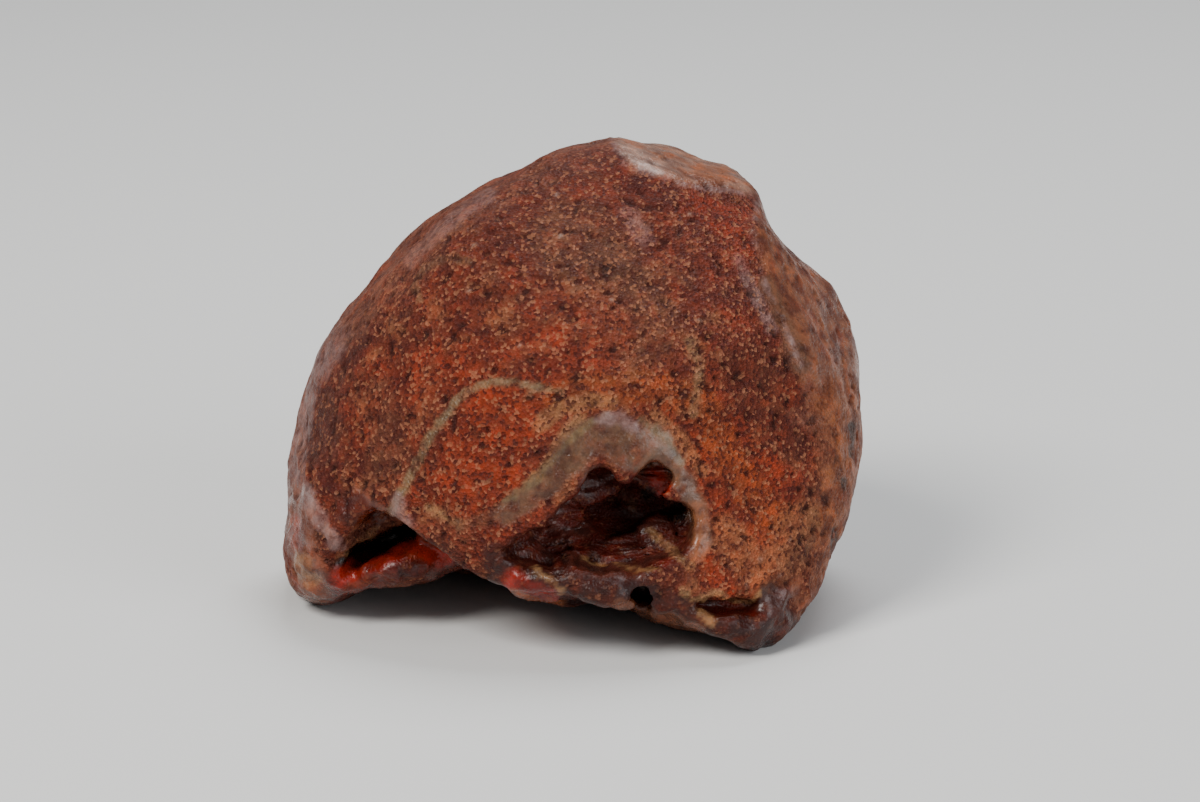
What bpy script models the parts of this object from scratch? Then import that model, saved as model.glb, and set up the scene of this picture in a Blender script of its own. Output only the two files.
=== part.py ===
"""A weathered agate nodule: one stone with a hollow broken open low on its front.

The stone is drawn in a sketch frame that leans back from the upright: x to the right, y up the leaning
plane and z out of it, towards the front. An empty carries that frame, and stands the stone on the ground.
"""

import math

import bmesh
import bpy
from mathutils import Matrix, Vector, noise

MM = 0.001

# Every place and size below is in millimetres in the sketch frame: right, up and forward.
LEAN = math.radians(15)
GROUND_BELOW_MIDDLE = 21.2

# The girdle is the stone's widest line as the front view sees it.
GIRDLE = [
    (4.0, 26.1, -2.0),
    (8.5, 26.9, -6.0),
    (14.0, 26.6, -8.0),
    (17.6, 23.2, -7.0),
    (18.7, 19.9, -4.0),
    (20.1, 17.8, -4.0),
    (22.7, 15.6, -6.0),
    (26.3, 12.6, -8.0),
    (30.0, 9.9, -8.0),
    (30.3, 5.6, -6.0),
    (30.1, -1.0, -3.0),
    (29.2, -11.5, 3.0),
    (27.2, -16.0, 6.0),
    (24.0, -22.2, 11.0),
    (21.1, -25.0, 14.0),
    (18.4, -26.2, 15.0),
    (15.7, -24.8, 14.5),
    (13.4, -24.2, 12.0),
    (9.5, -23.7, 8.0),
    (4.4, -21.2, 6.0),
    (2.5, -20.7, 6.0),
    (0.1, -22.0, 6.0),
    (-3.0, -21.3, 8.0),
    (-6.3, -20.3, 12.0),
    (-7.8, -17.5, 14.0),
    (-12.0, -17.9, 12.0),
    (-15.8, -19.6, 8.0),
    (-21.2, -19.9, 3.0),
    (-25.5, -22.2, 0.0),
    (-28.1, -21.5, -1.0),
    (-29.9, -19.6, -1.0),
    (-29.9, -13.0, -1.0),
    (-28.5, 0.0, -3.0),
    (-27.5, 3.2, -4.0),
    (-22.3, 10.9, -4.0),
    (-14.8, 18.9, -4.0),
    (-12.1, 20.4, -4.0),
    (-6.0, 23.6, -4.0),
    (-2.0, 25.4, -3.0),
]
FRONT_DEPTH = 24.0
BACK_DEPTH = 25.0
FRONT_FULLNESS = 2.5
BACK_FULLNESS = 2.7
FADE_POWER = 3.0
FADE_SAMPLES = 13

# Worn flats: the way each one faces, how far it lies from the stone's middle, and its edge's rounding.
FLATS = {
    "front_brow": ((0.12, 0.50, 0.86), 22.9, 1.8),
    "front_left": ((-0.55, 0.28, 0.78), 24.6, 2.5),
    "front_right": ((0.55, 0.05, 0.83), 25.6, 2.2),
    "top": ((0.30, 0.92, 0.25), 26.1, 0.3),
    "right_shoulder": ((0.866, 0.36, 0.35), 27.1, 0.3),
    "back_left": ((-0.62, 0.25, -0.74), 23.0, 0.9),
    "back_right": ((0.52, 0.35, -0.78), 21.5, 0.7),
    "back_low": ((0.05, -0.25, -0.96), 22.5, 1.0),
}

# Dishes worn or struck into the skin: the middle of a ball and its radius.
DISHES = {
    "shoulder": ((41.0, 29.0, 8.0), 21.8),
    "back": ((-6.0, 22.0, -38.0), 22.0),
    "belly": ((0.0, -77.3, -17.6), 60.0),
    "belly_left": ((-22.0, -47.9, -15.9), 30.0),
    "belly_right": ((21.0, -50.9, -5.4), 30.0),
    "belly_back_left": ((-24.0, -35.3, -21.9), 20.0),
    "belly_back_right": ((26.0, -38.4, -8.3), 20.0),
}

# Crests where two worn faces meet: a line in the front view, its rise and the width of each slope.
CRESTS = {
    "top": ([(3.5, 27.6), (5.4, 23.9), (11.0, 21.6), (18.6, 20.6)], 0.9, 2.0),
    "shoulder": ([(19.6, 20.6), (18.7, 16.2), (19.9, 11.4), (21.8, 7.2), (23.4, 2.9)], 0.8, 2.2),
    "flank": ([(23.4, 2.9), (25.2, -5.0), (25.6, -12.0)], 0.4, 2.6),
}

CREST_END = -8.0
CREST_FADE = 6.0

# The breaks, swells and pits are lumpy balls: middle, half sizes, turn in the front view and lean of the
# far end upwards, in degrees. Each pocket of the hollow is a ball of its own.
BREAKS = {
    "vug": ((4.7, -12.7, 19.0), (7.4, 4.5, 10.5), -4, 22),
    "vug_roof": ((2.4, -9.0, 17.5), (2.1, 2.6, 9.0), 20, 8),
    "vug_roof_right": ((7.9, -8.5, 19.0), (2.0, 2.2, 7.0), -14, 8),
    "vug_slope": ((0.2, -11.9, 18.0), (4.0, 1.7, 8.0), 40, 14),
    "vug_left": ((-3.0, -14.9, 19.0), (4.2, 2.3, 7.0), 10, 16),
}
SWELLS = {
    "lip": ((-17.4, -17.9, 7.6), (6.4, 1.8, 5.6), 12, 0),
    "brow_of_lip": ((-7.8, -15.4, 17.4), (5.0, 3.2, 3.4), -32, 0),
    "bar_left": ((-3.2, -19.4, 15.8), (3.0, 1.5, 3.6), -14, 0),
    "bar_middle": ((7.4, -20.7, 13.0), (5.4, 1.5, 4.0), -15, 0),
    "ledge_top": ((15.6, -19.8, 17.6), (4.0, 1.0, 2.4), -4, 0),
}
PITS = {
    "vug_pocket": ((7.0, -10.3, 14.0), (1.3, 1.3, 5.0), 0, 0),
    "vug_pocket_right": ((10.2, -12.2, 15.0), (1.5, 1.6, 6.5), 0, 0),
    "floor_pit": ((6.9, -20.1, 17.5), (2.3, 1.6, 5.0), -8, 0),
    "floor_pit_left": ((0.9, -17.2, 15.5), (1.8, 1.0, 4.0), -6, 0),
    "ledge": ((15.6, -21.4, 19.0), (4.2, 0.9, 4.0), -5, 10),
    "gash": ((-19.4, -15.5, 9.5), (5.0, 1.1, 6.5), 27, 0),
}
BALL_WAVE = 0.22
BALL_WAVE_LENGTH = 2.6
STEPS = [("breaks", "DIFFERENCE", BREAKS), ("swells", "UNION", SWELLS), ("pits", "DIFFERENCE", PITS)]

# The undercut below the front left lip: middle, half sizes, edge rounding and turn in the front view.
UNDERCUT = ((-16.9, -19.1, 23.0), (7.6, 5.0, 12.5), 2.8, -36.5)

# The skin's broad swells and its small knocks: wavelength and height.
BROAD_LUMPS = (9.0, 0.5)
SMALL_LUMPS = (3.4, 0.32)
LUMP_SHIFT = Vector((7, 3, 1))

# How the solid is knitted into one skin and thinned out.
KNIT_SIZE = 0.65
KEPT_FACES = 0.135
TABLE_SIZE = 200.0

BRICK_RED = (0.16, 0.042, 0.018, 1.0)
WAXY_ROUGHNESS = 0.55

TURN = 2 * math.pi


def girdle_marks():
    """The girdle's points as angle, radius and forward reach, in the order of their angles."""
    return sorted((math.atan2(y, x) % TURN, math.hypot(x, y), z) for x, y, z in GIRDLE)


def smooth_between(four, share):
    """A Catmull-Rom step between the two middle values."""
    a, b, c, d = four
    return b + 0.5 * share * (c - a + share * (2 * a - 5 * b + 4 * c - d + share * (3 * (b - c) + d - a)))


def girdle_at(marks, angle):
    """The girdle's radius and forward reach at an angle round the sketch frame's z axis."""
    count = len(marks)
    angle %= TURN
    after = next((i for i, mark in enumerate(marks) if mark[0] > angle), count)
    near = [marks[(after + step) % count] for step in (-2, -1, 0, 1)]
    start = near[1][0]
    span = (near[2][0] - start) % TURN
    share = ((angle - start) % TURN) / span
    return [smooth_between([mark[axis] for mark in near], share) for axis in (1, 2)]


def faded_girdle_at(marks, angle, height):
    """The girdle averaged over a window that grows towards the poles, so its corners fade out there."""
    window = TURN * abs(height) ** FADE_POWER
    shares = [i / (FADE_SAMPLES - 1) - 0.5 for i in range(FADE_SAMPLES)]
    found = [girdle_at(marks, angle + window * share) for share in shares]
    return [sum(values) / FADE_SAMPLES for values in zip(*found)]


def body_point(marks, direction):
    """The skin along a direction: a rounded pebble as wide as the girdle, deeper at the front or back."""
    angle = math.atan2(direction.y, direction.x)
    across = math.hypot(direction.x, direction.y)
    radius, forward = faded_girdle_at(marks, angle, direction.z)
    front = direction.z > 0
    depth = FRONT_DEPTH if front else BACK_DEPTH
    fullness = FRONT_FULLNESS if front else BACK_FULLNESS
    reach = ((across / radius) ** fullness + (abs(direction.z) / depth) ** fullness) ** (-1 / fullness)
    point = direction * reach
    point.z += forward * (across * reach / radius) ** 2
    return point


def plane_off(point, normal, distance, rounding):
    """The point pushed back behind a plane, with the plane's edges rounded."""
    normal = Vector(normal).normalized()
    proud = point.dot(normal) - distance
    return point - normal * rounding * math.log1p(math.exp(min(proud / rounding, 50)))


def dish(point, middle, radius):
    """The point pushed out of a ball, which leaves a round dish in the skin."""
    away = point - Vector(middle)
    return Vector(middle) + away * max(1.0, radius / away.length)


def distance_to_line(point, line):
    """How far a point lies from a bent line, both seen in the front view."""
    spot = Vector((point.x, point.y))
    nearest = math.inf
    for start, end in zip(line, line[1:]):
        start = Vector(start)
        leg = Vector(end) - start
        share = min(max((spot - start).dot(leg) / leg.length_squared, 0), 1)
        nearest = min(nearest, (start + leg * share - spot).length)
    return nearest


def crest(point, line, rise, width):
    """A sharp rise along a line of the front view, which fades out round the back."""
    front = min(max((point.z - CREST_END) / CREST_FADE, 0), 1)
    return rise * front * math.exp(-distance_to_line(point, line) / width)


def lumps(point):
    broad, broad_height = BROAD_LUMPS
    small, small_height = SMALL_LUMPS
    swell = noise.noise(point / broad)
    knock = noise.noise(point / small + LUMP_SHIFT)
    return broad_height * swell + small_height * knock


def new_collection(name, parent):
    collection = bpy.data.collections.new(name)
    parent.children.link(collection)
    return collection


def finish(bm, name, collection, frame=None):
    """The modelled mesh as an object in its collection, in metres from millimetres."""
    bmesh.ops.scale(bm, vec=(MM, MM, MM), verts=bm.verts)
    mesh = bpy.data.meshes.new(name)
    bm.to_mesh(mesh)
    bm.free()
    obj = bpy.data.objects.new(name, mesh)
    obj.parent = frame
    collection.objects.link(obj)
    return obj


def as_cutter(obj):
    obj.hide_render = True
    obj.display_type = "WIRE"
    return obj


def stone_material():
    material = bpy.data.materials.new("agate nodule")
    material.use_nodes = True
    shader = material.node_tree.nodes["Principled BSDF"]
    shader.inputs["Base Color"].default_value = BRICK_RED
    shader.inputs["Roughness"].default_value = WAXY_ROUGHNESS
    shader.inputs["Metallic"].default_value = 0.0
    return material


def stone_body(collection, frame):
    marks = girdle_marks()
    bm = bmesh.new()
    bmesh.ops.create_icosphere(bm, subdivisions=6, radius=1)
    for vert in bm.verts:
        point = body_point(marks, vert.co.normalized())
        for normal, distance, rounding in FLATS.values():
            point = plane_off(point, normal, distance, rounding)
        for middle, radius in DISHES.values():
            point = dish(point, middle, radius)
        lift = lumps(point) + sum(crest(point, *shape) for shape in CRESTS.values())
        vert.co = point + point.normalized() * lift
    stone = finish(bm, "agate_nodule", collection, frame)
    stone.data.materials.append(stone_material())
    return stone


def lumpy_ball(name, middle, half_sizes, turn, lean, collection, frame):
    middle = Vector(middle)
    spin = Matrix.Rotation(math.radians(turn), 3, "Z") @ Matrix.Rotation(math.radians(lean), 3, "X")
    bm = bmesh.new()
    bmesh.ops.create_icosphere(bm, subdivisions=4, radius=1)
    for vert in bm.verts:
        arm = spin @ (vert.co * Vector(half_sizes))
        wave = noise.noise((middle + arm) / BALL_WAVE_LENGTH)
        vert.co = middle + arm * (1 + BALL_WAVE * wave)
    return as_cutter(finish(bm, name, collection, frame))


def undercut(middle, half_sizes, rounding, turn, collection, frame):
    """The rounded block that takes the stone away below its front left lip."""
    bm = bmesh.new()
    bmesh.ops.create_cube(bm, size=2)
    bmesh.ops.scale(bm, vec=half_sizes, verts=bm.verts)
    bmesh.ops.bevel(bm, geom=bm.edges[:], offset=rounding, segments=4, profile=0.5, affect="EDGES")
    bmesh.ops.rotate(bm, matrix=Matrix.Rotation(math.radians(turn), 3, "Z"), verts=bm.verts)
    bmesh.ops.translate(bm, vec=middle, verts=bm.verts)
    return as_cutter(finish(bm, "undercut", collection, frame))


def table(collection):
    """The block whose top is the ground: it leaves a small flat under each of the stone's feet."""
    bm = bmesh.new()
    bmesh.ops.create_cube(bm, size=TABLE_SIZE)
    bmesh.ops.translate(bm, vec=(0, 0, -TABLE_SIZE / 2), verts=bm.verts)
    return as_cutter(finish(bm, "table", collection))


def join_shapes(stone, label, operation, group):
    """A Boolean with every shape of one group."""
    change = stone.modifiers.new(label, "BOOLEAN")
    change.operation = operation
    change.operand_type = "COLLECTION"
    change.collection = group
    change.solver = "EXACT"


def knit_skin(stone):
    """One even skin over the joined shapes, a little worn, with only as many faces as it needs."""
    knit = stone.modifiers.new("knit", "REMESH")
    knit.mode = "VOXEL"
    knit.voxel_size = KNIT_SIZE * MM
    knit.use_smooth_shade = True
    wear = stone.modifiers.new("wear", "SMOOTH")
    wear.factor = 0.5
    wear.iterations = 1
    thin = stone.modifiers.new("fewer faces", "DECIMATE")
    thin.ratio = KEPT_FACES


def cut_feet(stone, block):
    feet = stone.modifiers.new("feet", "BOOLEAN")
    feet.operation = "DIFFERENCE"
    feet.object = block
    feet.solver = "EXACT"


def centre_on_ground(frame, stone):
    """Moves the sketch frame, with all it carries, until the stone's box has its middle over the origin."""
    bpy.context.view_layer.update()
    evaluated = stone.evaluated_get(bpy.context.evaluated_depsgraph_get())
    corners = [stone.matrix_world @ vert.co for vert in evaluated.data.vertices]
    for axis in (0, 1):
        places = [corner[axis] for corner in corners]
        frame.location[axis] -= (min(places) + max(places)) / 2


def main():
    for obj in list(bpy.data.objects):
        bpy.data.objects.remove(obj)
    parts = new_collection("agate nodule", bpy.context.scene.collection)
    cutters = new_collection("cutters", bpy.context.scene.collection)
    frame = bpy.data.objects.new("sketch_frame", None)
    parts.objects.link(frame)
    frame.rotation_euler = (math.pi / 2 - LEAN, 0, 0)
    frame.location = (0, 0, GROUND_BELOW_MIDDLE * MM)
    stone = stone_body(parts, frame)
    for label, operation, balls in STEPS:
        group = new_collection(label, cutters)
        for name, shape in balls.items():
            lumpy_ball(name, *shape, group, frame)
        if balls is BREAKS:
            undercut(*UNDERCUT, group, frame)
        join_shapes(stone, label, operation, group)
    knit_skin(stone)
    cut_feet(stone, table(cutters))
    centre_on_ground(frame, stone)


main()
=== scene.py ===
"""The looks of a weathered agate nodule: the solid's fine skin, its mineral colours, the light and the view.

The front view is the photograph's: places on the stone's front are given in the photograph's pixels, which
is 1200 wide and 802 high, and depths in millimetres towards the viewer from the stone's middle.
"""

import math

import bmesh
import bpy
import numpy as np
from mathutils import Matrix, Vector, noise

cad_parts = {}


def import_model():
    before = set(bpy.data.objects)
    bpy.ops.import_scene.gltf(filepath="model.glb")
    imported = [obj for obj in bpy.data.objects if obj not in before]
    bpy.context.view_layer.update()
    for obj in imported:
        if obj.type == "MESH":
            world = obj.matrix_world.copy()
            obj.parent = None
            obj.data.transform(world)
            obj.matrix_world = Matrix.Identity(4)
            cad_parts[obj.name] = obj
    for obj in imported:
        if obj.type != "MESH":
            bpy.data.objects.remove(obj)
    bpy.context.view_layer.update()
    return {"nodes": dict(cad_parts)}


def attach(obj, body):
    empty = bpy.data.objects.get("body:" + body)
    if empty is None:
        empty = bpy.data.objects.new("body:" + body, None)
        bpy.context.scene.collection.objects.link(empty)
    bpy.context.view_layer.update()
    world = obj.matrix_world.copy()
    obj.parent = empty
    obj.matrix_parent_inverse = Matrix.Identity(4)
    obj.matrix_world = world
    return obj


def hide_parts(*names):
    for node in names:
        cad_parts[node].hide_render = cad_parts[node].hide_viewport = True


MM = 0.001

# The view: how far the camera looks down, its distance, and one pixel's size at the stone's middle.
LEAN = math.radians(15)
SKETCH_PLACE = Vector((-0.115, 1.518, 21.2))
PIXEL = 60.0 / 567.0
IMAGE_WIDTH = 1200
IMAGE_MIDDLE = (600.0, 401.0)
VIEW_MIDDLE = (2.751, -0.9)
DISTANCE = 400.0
SENSOR = 36.0

# The fine skin.
MERGE_DISTANCE = 0.00001
FINE_STEP = 0.4
SMOOTHING = 7
WOBBLE_PIXELS = 3.2


def seen(red, green, blue):
    """A colour from 0 to 255 as it looks on the stone, deepened to make up for the sheen over it."""
    return tuple((value / 255) ** 3.0 for value in (red, green, blue))


# The stone's minerals; the two darkest are painted shade for its pits, holes, grooves and clefts.
COLOURS = {
    "brick": seen(124, 66, 45),
    "orange brick": seen(146, 70, 38),
    "deep red": seen(92, 34, 20),
    "grey brown": seen(112, 84, 66),
    "pink grey": seen(130, 92, 76),
    "lilac": seen(150, 128, 124),
    "chalcedony": seen(117, 93, 76),
    "green grey": seen(128, 112, 88),
    "cream": seen(168, 138, 104),
    "ochre": seen(158, 102, 60),
    "tan": seen(152, 106, 78),
    "facet grey": seen(158, 132, 118),
    "translucent orange": seen(148, 50, 26),
    "warm brown": seen(104, 54, 34),
    "violet brown": seen(98, 66, 58),
    "low brown": seen(74, 38, 28),
    "cave red": seen(104, 46, 32),
    "cave violet": seen(92, 58, 52),
    "pit shade red": seen(66, 24, 16),
    "shade black": seen(22, 12, 9),
    "white": seen(196, 184, 176),
}
PALE_GRAIN = seen(176, 128, 100)
DARK_GRAIN = seen(84, 32, 18)

# Painted strokes on the front, in order: colour, line, half width in pixels, depths, strength, sugar, relief.
# Sugar is 1 on crystal crust and 0 on smooth waxy stone, and relief is in millimetres.
FRONT = (2.0, 60.0)
SKIN = (14.0, 60.0)
UNDER_LIP = (-2.0, 14.0)
STROKES = [
    ("warm brown", [(440, 255), (560, 205), (700, 235)], 66, FRONT, 0.32, 0.3, 0.0),
    ("violet brown", [(360, 320), (330, 380), (322, 450)], 18, FRONT, 0.7, 0.45, 0.0),
    ("lilac", [(340, 335), (308, 385), (298, 440), (294, 520)], 11, FRONT, 0.6, 0.3, 0.0),
    ("pink grey", [(345, 330), (420, 240), (520, 180), (600, 150)], 16, FRONT, 0.5, 0.45, 0.0),
    ("warm brown", [(420, 260), (500, 215), (580, 190)], 26, FRONT, 0.3, 0.6, 0.0),
    ("deep red", [(470, 205), (540, 170), (600, 155)], 10, FRONT, 0.35, 0.8, 0.0),
    ("lilac", [(410, 262), (440, 230), (490, 195)], 7, FRONT, 0.4, 0.4, 0.0),
    ("grey brown", [(570, 240), (620, 290), (640, 330)], 40, FRONT, 0.6, 0.8, 0.0),
    ("lilac", [(628, 215), (645, 240)], 9, FRONT, 0.35, 0.5, 0.0),
    ("grey brown", [(380, 400), (390, 440), (385, 470)], 20, FRONT, 0.45, 0.8, 0.0),
    ("orange brick", [(500, 420), (470, 470), (500, 500)], 36, SKIN, 0.85, 1.0, 0.0),
    ("orange brick", [(600, 330), (560, 370), (420, 380)], 34, SKIN, 0.4, 1.0, 0.0),
    ("orange brick", [(720, 450), (760, 500), (740, 560)], 40, FRONT, 0.85, 1.0, 0.0),
    ("ochre", [(560, 400), (640, 385), (700, 400), (735, 470), (770, 520)], 17, FRONT, 0.35, 1.0, 0.0),
    ("cream", [(725, 535), (755, 575), (785, 560), (800, 520)], 20, FRONT, 0.3, 1.0, 0.0),
    ("green grey", [(690, 340), (700, 370), (694, 412)], 5, FRONT, 0.6, 0.7, 0.03),
    ("warm brown", [(745, 370), (770, 420), (790, 440)], 24, FRONT, 0.6, 0.9, 0.0),
    ("pink grey", [(795, 415), (815, 425)], 9, FRONT, 0.6, 0.3, 0.05),
    ("green grey", [(470, 262), (445, 258), (425, 268), (415, 285), (420, 300)], 4, FRONT, 0.45, 0.5, 0.03),
    ("pink grey", [(400, 285), (430, 250)], 18, FRONT, 0.35, 0.6, 0.0),
    ("green grey", [(562, 392), (539, 387), (503, 381), (486, 383), (468, 391), (456, 402)], 4, SKIN, 0.8,
     0.3, 0.1),
    ("green grey", [(538, 386), (526, 396)], 3.5, SKIN, 0.6, 0.3, 0.06),
    ("green grey", [(456, 402), (445, 418), (436, 429), (427, 443), (421, 455)], 4.5, SKIN, 0.85, 0.3, 0.12),
    ("green grey", [(421, 455), (412, 473), (406, 488), (398, 499), (392, 511)], 4.5, SKIN, 0.85, 0.3, 0.12),
    ("lilac", [(398, 499), (400, 512), (408, 522)], 7, SKIN, 0.7, 0.1, 0.06),
    ("cream", [(427, 508), (445, 517), (462, 523)], 4, SKIN, 0.6, 0.4, 0.08),
    ("grey brown", [(462, 523), (486, 520), (503, 508), (521, 494)], 7, SKIN, 0.7, 0.4, 0.0),
    ("cream", [(525, 488), (545, 470), (560, 440), (580, 418)], 5, SKIN, 0.5, 0.9, 0.05),
    ("cream", [(540, 425), (556, 410), (590, 400), (610, 402)], 8, SKIN, 0.4, 1.0, 0.0),
    ("cream", [(655, 415), (680, 435), (700, 470)], 7, SKIN, 0.35, 1.0, 0.0),
    ("lilac", [(738, 260), (748, 282), (760, 308), (772, 330)], 5, FRONT, 0.6, 0.4, 0.05),
    ("deep red", [(610, 160), (660, 195), (730, 215)], 12, FRONT, 0.4, 0.9, 0.0),
    ("orange brick", [(690, 205), (735, 225), (742, 260)], 14, FRONT, 0.45, 0.9, 0.0),
    ("chalcedony", [(506, 514), (530, 497), (556, 478), (572, 456)], 12, SKIN, 0.9, 0.05, -0.06),
    ("chalcedony", [(572, 456), (590, 438), (610, 436), (632, 452), (655, 444)], 19, SKIN, 0.95, 0.0, -0.06),
    ("chalcedony", [(655, 444), (672, 462), (684, 484), (697, 508), (702, 540)], 11, SKIN, 0.9, 0.0, -0.06),
    ("green grey", [(508, 500), (538, 478), (562, 448), (588, 424), (606, 416)], 4, SKIN, 0.7, 0.1, 0.05),
    ("green grey", [(640, 420), (664, 436), (682, 462)], 4, SKIN, 0.6, 0.1, 0.05),
    ("violet brown", [(590, 446), (612, 450), (628, 466)], 6, SKIN, 0.45, 0.0, 0.0),
    # Painted highlight: a pale lilac patch where light catches the band at the hollow's mouth.
    ("lilac", [(600, 420), (618, 417), (632, 426)], 6, SKIN, 0.85, 0.0, 0.06),
    ("tan", [(697, 508), (702, 530), (698, 556)], 8, SKIN, 0.7, 0.1, -0.05),
    ("warm brown", [(348, 510), (362, 508), (376, 514)], 14, (-2.0, 19.0), 0.95, 0.05, -0.1),
    ("deep red", [(333, 586), (353, 578), (383, 568), (420, 556), (450, 566)], 16, UNDER_LIP, 0.9, 0.1, 0.0),
    ("translucent orange", [(336, 580), (362, 564), (392, 556)], 10, UNDER_LIP, 0.95, 0.2, 0.0),
    ("translucent orange", [(402, 552), (425, 548), (442, 560)], 10, UNDER_LIP, 0.95, 0.2, 0.0),
    ("orange brick", [(345, 590), (380, 575)], 4, UNDER_LIP, 0.6, 0.2, 0.0),
    ("warm brown", [(430, 575), (460, 572), (490, 578)], 8, UNDER_LIP, 0.8, 0.1, 0.0),
    # Painted highlight: a thin pale line across the dark gash under the lip.
    ("white", [(379, 539), (396, 537)], 1.7, UNDER_LIP, 0.7, 0.0, 0.1),
    ("cream", [(343, 552), (356, 540), (378, 529)], 2.2, UNDER_LIP, 0.5, 0.2, 0.05),
    ("pink grey", [(300, 500), (304, 545), (316, 588)], 15, FRONT, 0.8, 0.0, 0.0),
    ("cream", [(303, 560), (312, 580)], 8, FRONT, 0.45, 0.0, 0.0),
    ("translucent orange", [(297, 520), (298, 545)], 5, FRONT, 0.35, 0.0, 0.0),
    ("lilac", [(308, 490), (315, 508), (324, 523), (336, 543)], 7, FRONT, 0.7, 0.0, 0.05),
    ("deep red", [(328, 480), (340, 496), (350, 512)], 7, FRONT, 0.7, 0.5, -0.08),
    ("pink grey", [(355, 488), (372, 498), (386, 509), (398, 526), (424, 539), (445, 552), (466, 569)], 2.6,
     SKIN, 0.7, 0.1, 0.12),
    ("deep red", [(410, 545), (440, 566), (480, 584), (500, 560)], 16, SKIN, 0.5, 0.8, 0.0),
    ("low brown", [(500, 560), (505, 572), (560, 584), (620, 592), (700, 618), (755, 638)], 20, FRONT, 0.9,
     0.25, 0.0),
    # Painted shade: dark red in the low pits, each also cut in a little.
    ("pit shade red", [(583, 561), (601, 566)], 8, FRONT, 0.9, 0.3, -0.6),
    ("pit shade red", [(630, 584), (650, 594)], 11, FRONT, 0.85, 0.3, -0.5),
    ("pit shade red", [(548, 566), (552, 572)], 5, FRONT, 0.8, 0.3, -0.4),
    ("translucent orange", [(512, 578), (528, 588), (550, 597)], 9, FRONT, 0.85, 0.2, 0.0),
    ("ochre", [(514, 590), (535, 600), (560, 603)], 4.5, FRONT, 0.75, 0.1, 0.05),
    ("cream", [(535, 570), (550, 580), (562, 590)], 3, FRONT, 0.5, 0.2, 0.08),
    # Painted shade: dark red in a small pit, cut in a little.
    ("pit shade red", [(562, 596), (580, 600)], 4, FRONT, 0.7, 0.2, -0.3),
    ("tan", [(620, 605), (660, 618), (700, 630)], 7, FRONT, 0.5, 0.05, 0.0),
    ("violet brown", [(575, 560), (600, 570), (640, 572)], 8, FRONT, 0.6, 0.1, 0.0),
    ("low brown", [(770, 600), (780, 625), (765, 640)], 17, FRONT, 0.85, 0.05, 0.0),
    ("violet brown", [(765, 606), (780, 600), (792, 592)], 8, FRONT, 0.7, 0.0, 0.0),
    ("tan", [(795, 575), (800, 600)], 7, FRONT, 0.5, 0.0, 0.0),
    ("cream", [(700, 612), (712, 622)], 4, FRONT, 0.5, 0.2, 0.08),
    ("cream", [(680, 590), (693, 600), (713, 591), (747, 603), (760, 592)], 2.6, FRONT, 0.6, 0.6, 0.22),
    # Painted shade: a dark red line in the undercut under the ledge, cut in a little.
    ("deep red", [(700, 606), (725, 612), (752, 612)], 4, FRONT, 0.8, 0.2, -0.2),
    ("cream", [(583, 555), (607, 562), (630, 570), (662, 569)], 1.4, FRONT, 0.4, 0.2, 0.15),
    ("cream", [(650, 530), (668, 548), (690, 566)], 4, FRONT, 0.5, 0.8, 0.1),
]

# Painted highlights: pale spots where single crystal faces glint, in pixels, and their half width.
GLINTS = [
    (468, 290), (475, 245), (557, 195), (740, 268), (746, 284), (757, 300), (750, 232), (768, 330),
    (560, 236), (612, 300), (690, 214), (700, 320), (520, 345), (790, 540), (760, 560), (745, 585),
    (778, 575),
]
GLINT_SIZE = 2.2

# The hollow's pockets, as the solid has them: middle, half sizes, turn in the front view and backward lean.
POCKETS = [
    ((4.7, -12.7, 19.0), (7.4, 4.5, 10.5), -4, 22),
    ((2.4, -9.0, 17.5), (2.1, 2.6, 9.0), 20, 8),
    ((7.9, -8.5, 19.0), (2.0, 2.2, 7.0), -14, 8),
    ((0.2, -11.9, 18.0), (4.0, 1.7, 8.0), 40, 14),
    ((-3.0, -14.9, 19.0), (4.2, 2.3, 7.0), 10, 16),
    ((7.0, -10.3, 14.0), (1.3, 1.3, 5.0), 0, 0),
    ((10.2, -12.2, 15.0), (1.5, 1.6, 6.5), 0, 0),
    ((6.9, -20.1, 17.5), (2.3, 1.6, 5.0), -8, 0),
    ((0.9, -17.2, 15.5), (1.8, 1.0, 4.0), -6, 0),
    ((15.6, -21.4, 19.0), (4.2, 0.9, 4.0), -5, 10),
]
GASH = ((-19.4, -15.5, 9.5), (5.0, 1.1, 6.5), 27, 0)
# The line that parts the dark gash from the smooth recess above it, in pixels.
GASH_SLOPE = 0.35
GASH_MIDDLE = 366

# Holes in the hollow, in pixels, with their sizes, painted dark as their shade, and dark streaks low on the
# right flank, which are shallow grooves with painted shade in them.
HOLE_SHADES = [((648, 493), 8), ((677, 512), 9), ((594, 560), 8), ((565, 560), 5), ((520, 565), 6)]
FLANK_STREAKS = [[(853, 425), (852, 455)], [(836, 530), (834, 552)], [(845, 480), (842, 500)]]

# Flat crystal faces that half fill the hollow: a pixel, its depth, and its rise per millimetre right and up.
HOLLOW_FACES = [
    ((661, 476), 19.4, 0.25, -0.5),
    ((652, 480), 17.4, -0.35, -0.3),
    ((607, 470), 15.0, -0.3, -0.4),
    ((590, 482), 16.2, -0.4, -0.2),
    ((676, 500), 13.0, 0.3, 0.1),
    ((684, 522), 16.0, 0.4, -0.5),
    ((662, 532), 17.0, 0.1, -0.7),
    ((560, 512), 16.6, -0.3, 0.3),
    ((530, 520), 18.2, -0.2, 0.3),
    ((520, 545), 18.4, -0.1, -0.4),
    ((556, 540), 16.8, 0.0, -0.5),
    ((590, 545), 16.2, 0.1, -0.8),
    ((620, 552), 17.4, 0.0, -0.9),
    ((575, 562), 18.8, 0.0, -0.4),
    ((610, 520), 11.0, 0.0, -0.3),
    ((640, 500), 11.5, 0.2, -0.2),
]
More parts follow.
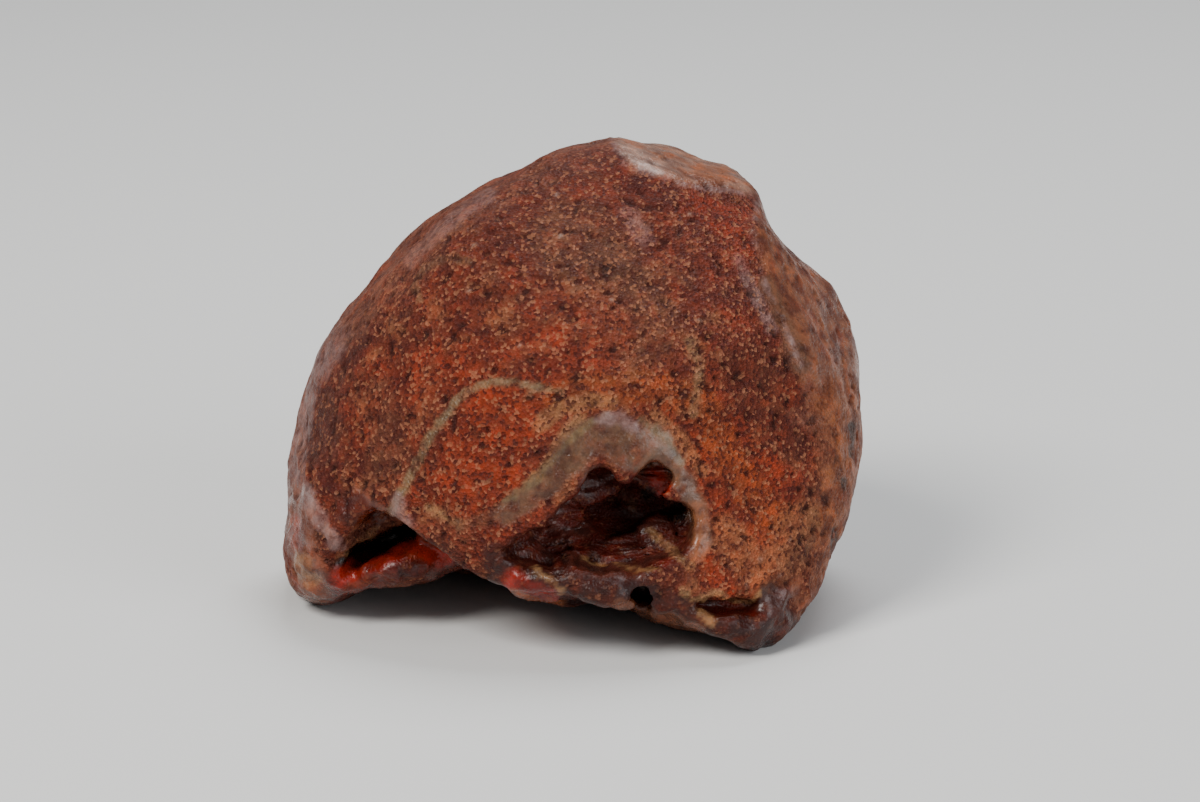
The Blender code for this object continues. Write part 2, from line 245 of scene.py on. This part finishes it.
# The smooth brown face above the gash under the lip.
RECESS_FACES = [((366, 505), 9.6, 0.3, 0.1), ((348, 522), 8.6, -0.1, 0.2), ((385, 520), 8.8, 0.3, 0.2)]

# Lines where worn faces meet on the front, in pixels.
TOP_CREST = [(606, 132), (625, 165), (680, 185), (752, 195)]
SHOULDER_CREST = [(757, 190), (753, 240), (765, 285), (785, 325), (800, 365)]


def sketch_frame():
    """The frame in which x is right, y up and z towards the viewer, in millimetres."""
    return Matrix.Translation(SKETCH_PLACE) @ Matrix.Rotation(math.pi / 2 - LEAN, 4, "X")


def smooth_step(low, high, values):
    share = np.clip((values - low) / (high - low), 0, 1)
    return share * share * (3 - 2 * share)


def noise_at(points, wavelength, shift=0.0):
    """Smooth noise from -1 to 1 at points in millimetres."""
    offset = Vector((shift, shift * 1.7, shift * 0.6))
    return np.array([noise.noise(Vector(point) / wavelength + offset) for point in points])


def grainy(points, wavelength, shift, fine_wavelength, fine_shift):
    """Smooth noise with finer noise over it, for ragged patches."""
    return noise_at(points, wavelength, shift) + 0.6 * noise_at(points, fine_wavelength, fine_shift)


def line_distance(spots, line):
    """Each spot's distance to a bent line in the front view."""
    nearest = np.full(len(spots), np.inf)
    for start, end in zip(line, line[1:]):
        start = np.array(start, float)
        leg = np.array(end, float) - start
        share = np.clip((spots - start) @ leg / max(leg @ leg, 0.001), 0, 1)
        away = spots - start - share[:, None] * leg
        nearest = np.minimum(nearest, np.hypot(away[:, 0], away[:, 1]))
    return nearest


def fine_copy(node):
    """The solid's shape as one closed mesh with a point every FINE_STEP, its facets smoothed away."""
    bm = bmesh.new()
    bm.from_mesh(node.data)
    bmesh.ops.remove_doubles(bm, verts=bm.verts, dist=MERGE_DISTANCE)
    mesh = bpy.data.meshes.new("coarse")
    bm.to_mesh(mesh)
    bm.free()
    coarse = bpy.data.objects.new("coarse", mesh)
    bpy.context.scene.collection.objects.link(coarse)
    knit = coarse.modifiers.new("knit", "REMESH")
    knit.mode = "VOXEL"
    knit.voxel_size = FINE_STEP * MM
    bpy.context.view_layer.update()
    bm = bmesh.new()
    bm.from_object(coarse, bpy.context.evaluated_depsgraph_get())
    for _ in range(SMOOTHING):
        bmesh.ops.smooth_vert(
            bm, verts=bm.verts, factor=0.5, use_axis_x=True, use_axis_y=True, use_axis_z=True
        )
    bmesh.ops.recalc_face_normals(bm, faces=bm.faces)
    mesh = bpy.data.meshes.new("nodule_skin")
    bm.to_mesh(mesh)
    bm.free()
    bpy.data.objects.remove(coarse)
    fine = bpy.data.objects.new("nodule_skin", mesh)
    bpy.context.scene.collection.objects.link(fine)
    return fine


def set_faces(skin, inside, faces, ragged):
    """Bring deep points forward to the nearest of the flat faces, each a little ragged."""
    gaps = np.array([np.hypot(*(skin.spots - np.array(face[0], float)).T) for face in faces])
    nearest = np.argmin(gaps + 5 * noise_at(skin.points, 1.5, 71.0), axis=0)
    spots = np.array([face[0] for face in faces], float)[nearest]
    depths, rights, ups = np.array([face[1:] for face in faces]).T
    shifts = (skin.spots - spots) * PIXEL
    level = depths[nearest] + rights[nearest] * shifts[:, 0] - ups[nearest] * shifts[:, 1]
    level += ragged * noise_at(skin.points * np.array([0.5, 1.7, 1.0]), 1.1, 19.0)
    forward = np.clip(level - skin.depth, 0, 7) * smooth_step(0.15, 0.5, inside)
    skin.points[:, 2] += forward
    skin.world += forward[:, None] * np.array(sketch_frame().to_3x3() @ Vector((0, 0, 1)))


class Skin:
    """The fine mesh's points, with where each lies in the sketch frame and in the front view."""

    def __init__(self, mesh):
        count = len(mesh.vertices)
        places = np.empty(count * 3)
        mesh.vertices.foreach_get("co", places)
        normals = np.empty(count * 3)
        mesh.vertices.foreach_get("normal", normals)
        to_sketch = sketch_frame().inverted()
        turn = np.array(to_sketch.to_3x3())
        self.world = places.reshape(-1, 3) / MM
        self.facing = normals.reshape(-1, 3)
        self.points = self.world @ turn.T + np.array(to_sketch.translation)
        self.normals = self.facing @ turn.T
        nearer = DISTANCE / (DISTANCE - self.points[:, 2])
        right = IMAGE_MIDDLE[0] + (self.points[:, 0] - VIEW_MIDDLE[0]) * nearer / PIXEL
        down = IMAGE_MIDDLE[1] - (self.points[:, 1] - VIEW_MIDDLE[1]) * nearer / PIXEL
        self.spots = np.column_stack([right, down])
        self.depth = self.points[:, 2]
        self.colour = np.tile(np.array(COLOURS["brick"]), (count, 1))
        self.sugar = np.ones(count)
        self.lift = np.zeros(count)

    def paint(self, colour, share, sugar=None, relief=0.0):
        self.colour += (np.array(COLOURS[colour]) - self.colour) * share[:, None]
        if sugar is not None:
            self.sugar += (sugar - self.sugar) * share
        self.lift += relief * share


def near_line(skin, line, full, none):
    """1 within full pixels of a line in the front view, and 0 beyond none."""
    return smooth_step(none, full, line_distance(skin.spots, line))


def in_pockets(skin, pockets):
    """How surely each point lies on a pocket's wall, which faces the pocket's middle."""
    found = np.zeros(len(skin.points))
    for middle, half_sizes, turn, lean in pockets:
        spin = Matrix.Rotation(math.radians(turn), 3, "Z") @ Matrix.Rotation(math.radians(lean), 3, "X")
        away = skin.points - np.array(middle)
        inside = away @ np.array(spin) / np.array(half_sizes)
        reach = np.linalg.norm(inside, axis=1)
        slope = (inside / np.array(half_sizes)) @ np.array(spin).T
        slope /= np.linalg.norm(slope, axis=1)[:, None]
        inward = -np.sum(slope * skin.normals, axis=1)
        found = np.maximum(found, smooth_step(1.32, 1.16, reach) * smooth_step(0.0, 0.45, inward))
    return found


def paint_broad_zones(skin):
    """Brick-red crust on the front, and a waxy pinkish rind round the sides, the top and the back."""
    broad = noise_at(skin.points, 8.0, 3.0)
    middle = noise_at(skin.points, 3.2, 9.0)
    turned_away = smooth_step(0.62, 0.1, skin.normals[:, 2] + 0.16 * broad)
    skin.paint("pink grey", 0.75 * turned_away, 0.3)
    behind = smooth_step(-2, -12, skin.depth + 4 * broad)
    skin.paint("tan", 0.5 * behind, 0.35)
    skin.paint("brick", behind * smooth_step(0.0, 0.5, broad + 0.5 * middle), 0.8)
    skin.paint("deep red", 0.35 * smooth_step(0.1, 0.6, middle))
    skin.paint("grey brown", 0.3 * smooth_step(0.15, 0.55, -broad))
    skin.paint("orange brick", 0.4 * smooth_step(0.05, 0.5, noise_at(skin.points, 4.6, 21.0)))
    stains = grainy(skin.points, 1.9, 41.0, 0.9, 43.0)
    skin.paint("deep red", 0.5 * smooth_step(0.2, 0.6, stains))
    skin.paint("grey brown", 0.45 * smooth_step(0.2, 0.6, -stains))
    bloom = grainy(skin.points, 2.6, 83.0, 1.1, 89.0)
    skin.paint("tan", 0.5 * smooth_step(0.25, 0.7, bloom))


def paint_faces(skin):
    """The waxy top facet and the dished right flank, each beyond its crest."""
    right, down = skin.spots[:, 0], skin.spots[:, 1]
    ragged = grainy(skin.points, 1.9, 27.0, 0.8, 29.0)
    crest_x, crest_y = zip(*TOP_CREST)
    above = smooth_step(-4, 5, np.interp(right, crest_x, crest_y) - down + 5 * ragged)
    above *= smooth_step(595, 630, right + 16 * ragged) * smooth_step(775, 755, right)
    above *= smooth_step(-18, -8, skin.depth + 5 * ragged)
    patches = smooth_step(-0.45, 0.25, grainy(skin.points, 1.8, 15.0, 0.8, 17.0))
    skin.paint("tan", 0.8 * above, 0.25)
    skin.paint("facet grey", 0.75 * above * patches, 0.15)
    skin.paint("white", 0.22 * above * near_line(skin, [(620, 148), (655, 170)], 5, 14), 0.1)
    skin.paint("ochre", 0.7 * above * near_line(skin, [(700, 172), (722, 176)], 4, 12))
    shoulder_x, shoulder_y = zip(*SHOULDER_CREST)
    beyond = smooth_step(-2, 8, right - np.interp(down, shoulder_y, shoulder_x) + 5 * ragged)
    beyond *= smooth_step(185, 205, down) * smooth_step(430, 380, down)
    beyond *= smooth_step(-22, -10, skin.depth + 5 * ragged)
    skin.paint("pink grey", 0.85 * beyond, 0.25)
    skin.paint("tan", 0.6 * beyond * patches, 0.15)
    skin.paint("warm brown", 0.5 * beyond * (1 - patches), 0.4)
    low = smooth_step(806, 826, right) * smooth_step(360, 410, down) * smooth_step(-16, -8, skin.depth)
    skin.paint("tan", 0.8 * low, 0.35)
    skin.paint("ochre", 0.6 * low * smooth_step(-0.1, 0.4, noise_at(skin.points, 2.4, 5.0)), 0.4)
    skin.paint("deep red", 0.6 * low * (1 - patches), 0.6, -0.1)
    # Painted shade: the flank's streaks are shallow grooves painted dark.
    for line in FLANK_STREAKS:
        near = near_line(skin, line, 2, 5) * smooth_step(-7, -4, skin.depth)
        skin.paint("shade black", 0.8 * near * smooth_step(0.0, 0.3, patches), 0.4, -0.2)
    skin.paint("chalcedony", 0.7 * near_line(skin, SHOULDER_CREST[2:], 5, 13), 0.1)


def paint_crests(skin):
    for line in (TOP_CREST, SHOULDER_CREST):
        edge = near_line(skin, line, 0.5, 4.0) * smooth_step(-6, 0, skin.depth)
        edge *= smooth_step(-0.35, 0.25, noise_at(skin.points, 1.2, 23.0))
        skin.paint("lilac", 0.75 * edge, 0.25, 0.14)


def paint_strokes(skin):
    sideways = noise_at(skin.points, 0.9, 31.0)
    upwards = noise_at(skin.points, 0.9, 47.0)
    wobbled = skin.spots + WOBBLE_PIXELS * np.column_stack([sideways, upwards])
    scuffs = noise_at(skin.points, 1.1, 53.0) + 0.5 * noise_at(skin.points, 0.6, 8.0)
    worn = 0.55 + 0.45 * smooth_step(-0.5, 0.1, scuffs)
    for colour, line, half_width, (near, far), strength, sugar, relief in STROKES:
        away = line_distance(wobbled, line)
        share = smooth_step(1.35 * half_width, 0.7 * half_width, away)
        share *= smooth_step(near - 1.5, near + 0.5, skin.depth)
        share *= smooth_step(far + 1.5, far - 0.5, skin.depth)
        skin.paint(colour, strength * share * worn, sugar, relief)


def paint_glints(skin):
    # Painted highlights: a pale facet-grey spot at each glint, raised a little.
    for spot in GLINTS:
        share = near_line(skin, [spot, spot], 0.5 * GLINT_SIZE, 1.4 * GLINT_SIZE)
        skin.paint("facet grey", 0.7 * share * smooth_step(0, 3, skin.depth), 0.0, 0.08)


def paint_pockets(skin):
    """The hollow's dark red and violet walls, lighter and rougher towards the mouth, and its painted shade.
    """
    wall = in_pockets(skin, POCKETS)
    gash = in_pockets(skin, [GASH])
    across_gash = skin.spots[:, 1] + GASH_SLOPE * (skin.spots[:, 0] - GASH_MIDDLE)
    set_faces(skin, gash * smooth_step(536, 528, across_gash), RECESS_FACES, 0.1)
    skin.paint("low brown", gash, 0.1)
    # Painted shade: dark in the gash below the parting line, where it lies under the lip.
    skin.paint("shade black", 0.8 * gash * smooth_step(530, 538, across_gash), 0.1)
    middle = noise_at(skin.points, 2.2, 13.0)
    layers = noise_at(skin.points * np.array([0.35, 1.9, 0.8]), 1.3, 3.0)
    in_hollow = smooth_step(500, 508, skin.spots[:, 0]) * smooth_step(580, 572, skin.spots[:, 1])
    set_faces(skin, wall * in_hollow, HOLLOW_FACES, 0.45)
    skin.paint("cave red", wall, 0.5)
    skin.paint("cave violet", wall * smooth_step(0.0, 0.5, middle), 0.2)
    skin.paint("translucent orange", 0.9 * wall * near_line(skin, [(655, 470), (662, 486)], 7, 13), 0.3)
    # Painted shade: dark spots in the hollow's holes.
    for spot, size in HOLE_SHADES:
        skin.paint("shade black", 0.85 * wall * near_line(skin, [spot, spot], 0.7 * size, 1.3 * size))
    skin.paint("chalcedony", 0.7 * wall * near_line(skin, [(631, 503), (633, 509)], 3, 6), 0.3)
    # Painted shade: the hollow's floor, brought forward, is streaked dark for the shade of the deep hollow.
    floor = wall * smooth_step(515, 540, skin.spots[:, 1])
    skin.paint("shade black", 0.55 * floor * smooth_step(0.05, 0.3, -layers), 0.3)
    skin.paint("violet brown", 0.6 * floor * smooth_step(0.05, 0.35, layers), 0.2)
    skin.lift += wall * (0.22 * layers + 0.2 * middle)
    return wall


def roughen(skin, wall):
    """Crystal crust, small pits and the waxy skin's faint swells, along the normals; the pits get painted
    shade.
    """
    crust = noise_at(skin.points, 0.75, 2.0)
    coarse = noise_at(skin.points, 1.7, 6.0)
    swell = noise_at(skin.points, 4.2, 11.0)
    chips = 1 - 2.2 * np.abs(noise_at(skin.points, 2.7, 61.0))
    pits = smooth_step(0.36, 0.52, noise_at(skin.points, 0.95, 77.0) + 0.25 * coarse) * (1 - wall)
    low_left = near_line(skin, [(340, 430), (360, 480)], 25, 60)
    streaks = noise_at(skin.points * np.array([1.6, 0.55, 1.0]), 1.15, 5.0)
    streaks = smooth_step(0.3, 0.5, streaks) * low_left * (1 - wall)
    pits = np.maximum(pits * (0.35 + 0.65 * skin.sugar), streaks)
    # Painted shade: dark red in the small pits and low-left streaks.
    skin.paint("pit shade red", 0.85 * pits)
    low = smooth_step(1.5, -3.0, skin.points[:, 1] + 0.25 * skin.points[:, 0] + 12.0)
    skin.lift += 0.16 * swell + (0.05 + 0.09 * skin.sugar) * coarse + 0.05 * skin.sugar * crust - 0.28 * pits
    skin.lift += (0.1 + 0.3 * low) * chips * (1 - 0.6 * wall)


def write_back(skin, mesh):
    moved = (skin.world + skin.facing * skin.lift[:, None]) * MM
    moved[:, 2] = np.maximum(moved[:, 2], 0.0)
    mesh.vertices.foreach_set("co", moved.ravel())
    paint = mesh.attributes.new("paint", "FLOAT_COLOR", "POINT")
    paint.data.foreach_set("color", np.column_stack([skin.colour, np.ones(len(skin.sugar))]).ravel())
    sugar = mesh.attributes.new("sugar", "FLOAT", "POINT")
    sugar.data.foreach_set("value", skin.sugar)
    mesh.shade_smooth()
    mesh.update()


class Shading:
    """Short calls that add and join the nodes of one material."""

    def __init__(self, name):
        self.material = bpy.data.materials.new(name)
        self.material.use_nodes = True
        self.tree = self.material.node_tree
        self.shader = self.tree.nodes["Principled BSDF"]

    def node(self, kind, **settings):
        made = self.tree.nodes.new(kind)
        for key, value in settings.items():
            setattr(made, key, value)
        return made

    def join(self, output, socket):
        self.tree.links.new(output, socket)

    def attribute(self, name):
        return self.node("ShaderNodeAttribute", attribute_name=name)

    def place(self):
        return self.node("ShaderNodeTexCoord").outputs["Object"]

    def texture(self, kind, scale, vector, **settings):
        made = self.node(kind, **settings)
        made.inputs["Scale"].default_value = scale
        self.join(vector, made.inputs["Vector"])
        return made

    def maths(self, operation, first, second):
        made = self.node("ShaderNodeMath", operation=operation)
        for value, socket in zip((first, second), made.inputs):
            if isinstance(value, (int, float)):
                socket.default_value = value
            else:
                self.join(value, socket)
        return made.outputs[0]

    def step(self, value, low, high, bottom=0.0, top=1.0):
        made = self.node("ShaderNodeMapRange", interpolation_type="SMOOTHSTEP")
        self.join(value, made.inputs["Value"])
        for name, number in zip(("From Min", "From Max", "To Min", "To Max"), (low, high, bottom, top)):
            made.inputs[name].default_value = number
        return made.outputs["Result"]

    def mix(self, share, first, second, blend_type="MIX"):
        made = self.node("ShaderNodeMix", data_type="RGBA", blend_type=blend_type)
        self.join(share, made.inputs["Factor"])
        for value, socket in zip((first, second), (made.inputs["A"], made.inputs["B"])):
            if isinstance(value, tuple):
                socket.default_value = (*value, 1.0)
            else:
                self.join(value, socket)
        return made.outputs["Result"]


def stone_material():
    """Painted minerals, broken up by sugary grains that glint on the crust and fade on the waxy stone."""
    look = Shading("weathered_agate")
    place = look.place()
    paint = look.attribute("paint").outputs["Color"]
    sugar = look.attribute("sugar").outputs["Fac"]

    # Crystal grains: each cell has its own shade, and a few are pale or dark red.
    grains = look.texture("ShaderNodeTexVoronoi", 3100.0, place, feature="F1")
    own = look.node("ShaderNodeSeparateColor")
    look.join(grains.outputs["Color"], own.inputs["Color"])
    pale = look.step(own.outputs["Red"], 0.8, 0.95)
    pale = look.maths("MULTIPLY", pale, look.step(sugar, 0.2, 0.9, 0.05, 0.5))
    dark = look.step(own.outputs["Green"], 0.6, 0.9)
    dark = look.maths("MULTIPLY", dark, look.step(sugar, 0.2, 0.9, 0.05, 0.75))
    clots = look.texture("ShaderNodeTexNoise", 420.0, place)
    clots.inputs["Detail"].default_value = 7.0
    clots.inputs["Roughness"].default_value = 0.68
    clot = look.step(clots.outputs["Fac"], 0.46, 0.62, 0.0, 0.75)
    mottled = look.mix(clot, paint, (0.5, 0.36, 0.34), "MULTIPLY")
    warm = look.step(clots.outputs["Fac"], 0.5, 0.36, 0.0, 0.6)
    mottled = look.mix(warm, mottled, (1.7, 1.35, 1.15), "MULTIPLY")
    fine = look.texture("ShaderNodeTexNoise", 1900.0, place)
    fine.inputs["Detail"].default_value = 3.0
    veil = look.step(fine.outputs["Fac"], 0.52, 0.72, 0.0, 0.3)
    mottled = look.mix(veil, mottled, (1.5, 1.4, 1.35), "MULTIPLY")
    speckled = look.mix(dark, mottled, DARK_GRAIN)
    speckled = look.mix(pale, speckled, PALE_GRAIN)
    look.join(speckled, look.shader.inputs["Base Color"])

    # Waxy stone is smooth and a little coated, and the crust is rough with glinting faces.
    gloss = look.maths("MULTIPLY", own.outputs["Blue"], 0.22)
    rough = look.maths("SUBTRACT", look.step(sugar, 0.1, 0.8, 0.42, 0.8), gloss)
    look.join(rough, look.shader.inputs["Roughness"])
    look.join(look.step(sugar, 0.5, 0.05, 0.0, 0.3), look.shader.inputs["Coat Weight"])
    look.shader.inputs["Coat Roughness"].default_value = 0.25
    look.shader.inputs["Specular IOR Level"].default_value = 0.22

    # Relief: tilted grains, and a finer tooth all over.
    height = look.maths("MULTIPLY", grains.outputs["Distance"], look.step(sugar, 0.1, 0.9, 0.12, 1.0))
    height = look.maths("ADD", height, look.maths("MULTIPLY", fine.outputs["Fac"], 0.55))
    bump = look.node("ShaderNodeBump")
    bump.inputs["Strength"].default_value = 0.75
    bump.inputs["Distance"].default_value = 0.00035
    look.join(height, bump.inputs["Height"])
    look.join(bump.outputs["Normal"], look.shader.inputs["Normal"])
    return look.material


def place_camera():
    data = bpy.data.cameras.new("view")
    data.sensor_width = SENSOR
    data.lens = SENSOR * DISTANCE / (IMAGE_WIDTH * PIXEL)
    data.clip_start = 0.01
    camera = bpy.data.objects.new("view", data)
    bpy.context.scene.collection.objects.link(camera)
    eye = sketch_frame() @ Vector((*VIEW_MIDDLE, DISTANCE)) * MM
    turn = sketch_frame().to_3x3().to_4x4()
    camera.matrix_world = Matrix.Translation(eye) @ turn
    bpy.context.scene.camera = camera


def place_light(name, spot, size, watts, tint):
    """A soft square lamp at a spot in metres, turned to the stone."""
    data = bpy.data.lights.new(name, "AREA")
    data.shape = "SQUARE"
    data.size = size
    data.energy = watts
    data.color = tint
    lamp = bpy.data.objects.new(name, data)
    bpy.context.scene.collection.objects.link(lamp)
    aim = Vector((0, 0, 0.02)) - Vector(spot)
    lamp.matrix_world = Matrix.Translation(spot) @ aim.to_track_quat("-Z", "Y").to_matrix().to_4x4()


def lay_floor():
    bm = bmesh.new()
    bmesh.ops.create_grid(bm, x_segments=1, y_segments=1, size=1.5)
    mesh = bpy.data.meshes.new("floor")
    bm.to_mesh(mesh)
    bm.free()
    floor = bpy.data.objects.new("floor", mesh)
    bpy.context.scene.collection.objects.link(floor)
    paint = Shading("pale_floor")
    paint.shader.inputs["Base Color"].default_value = (0.62, 0.62, 0.61, 1.0)
    paint.shader.inputs["Roughness"].default_value = 0.85
    mesh.materials.append(paint.material)


def light_the_studio():
    place_light("key", (-0.42, -0.42, 0.62), 0.34, 8.6, (1.0, 0.97, 0.93))
    place_light("fill", (0.55, -0.5, 0.3), 0.5, 4.2, (0.95, 0.97, 1.0))
    place_light("top", (0.12, 0.3, 0.7), 0.4, 4.5, (0.97, 0.98, 1.0))
    world = bpy.data.worlds.new("studio")
    world.use_nodes = True
    world.node_tree.nodes["Background"].inputs["Color"].default_value = (0.9, 0.95, 1.0, 1.0)
    world.node_tree.nodes["Background"].inputs["Strength"].default_value = 0.2
    bpy.context.scene.world = world


def main():
    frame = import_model()
    stone = fine_copy(frame["nodes"]["agate_nodule"])
    skin = Skin(stone.data)
    paint_broad_zones(skin)
    paint_faces(skin)
    paint_crests(skin)
    wall = paint_pockets(skin)
    paint_strokes(skin)
    paint_glints(skin)
    roughen(skin, wall)
    write_back(skin, stone.data)
    stone.data.materials.append(stone_material())
    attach(stone, "root")
    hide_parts("agate_nodule")
    lay_floor()
    light_the_studio()
    place_camera()


main()
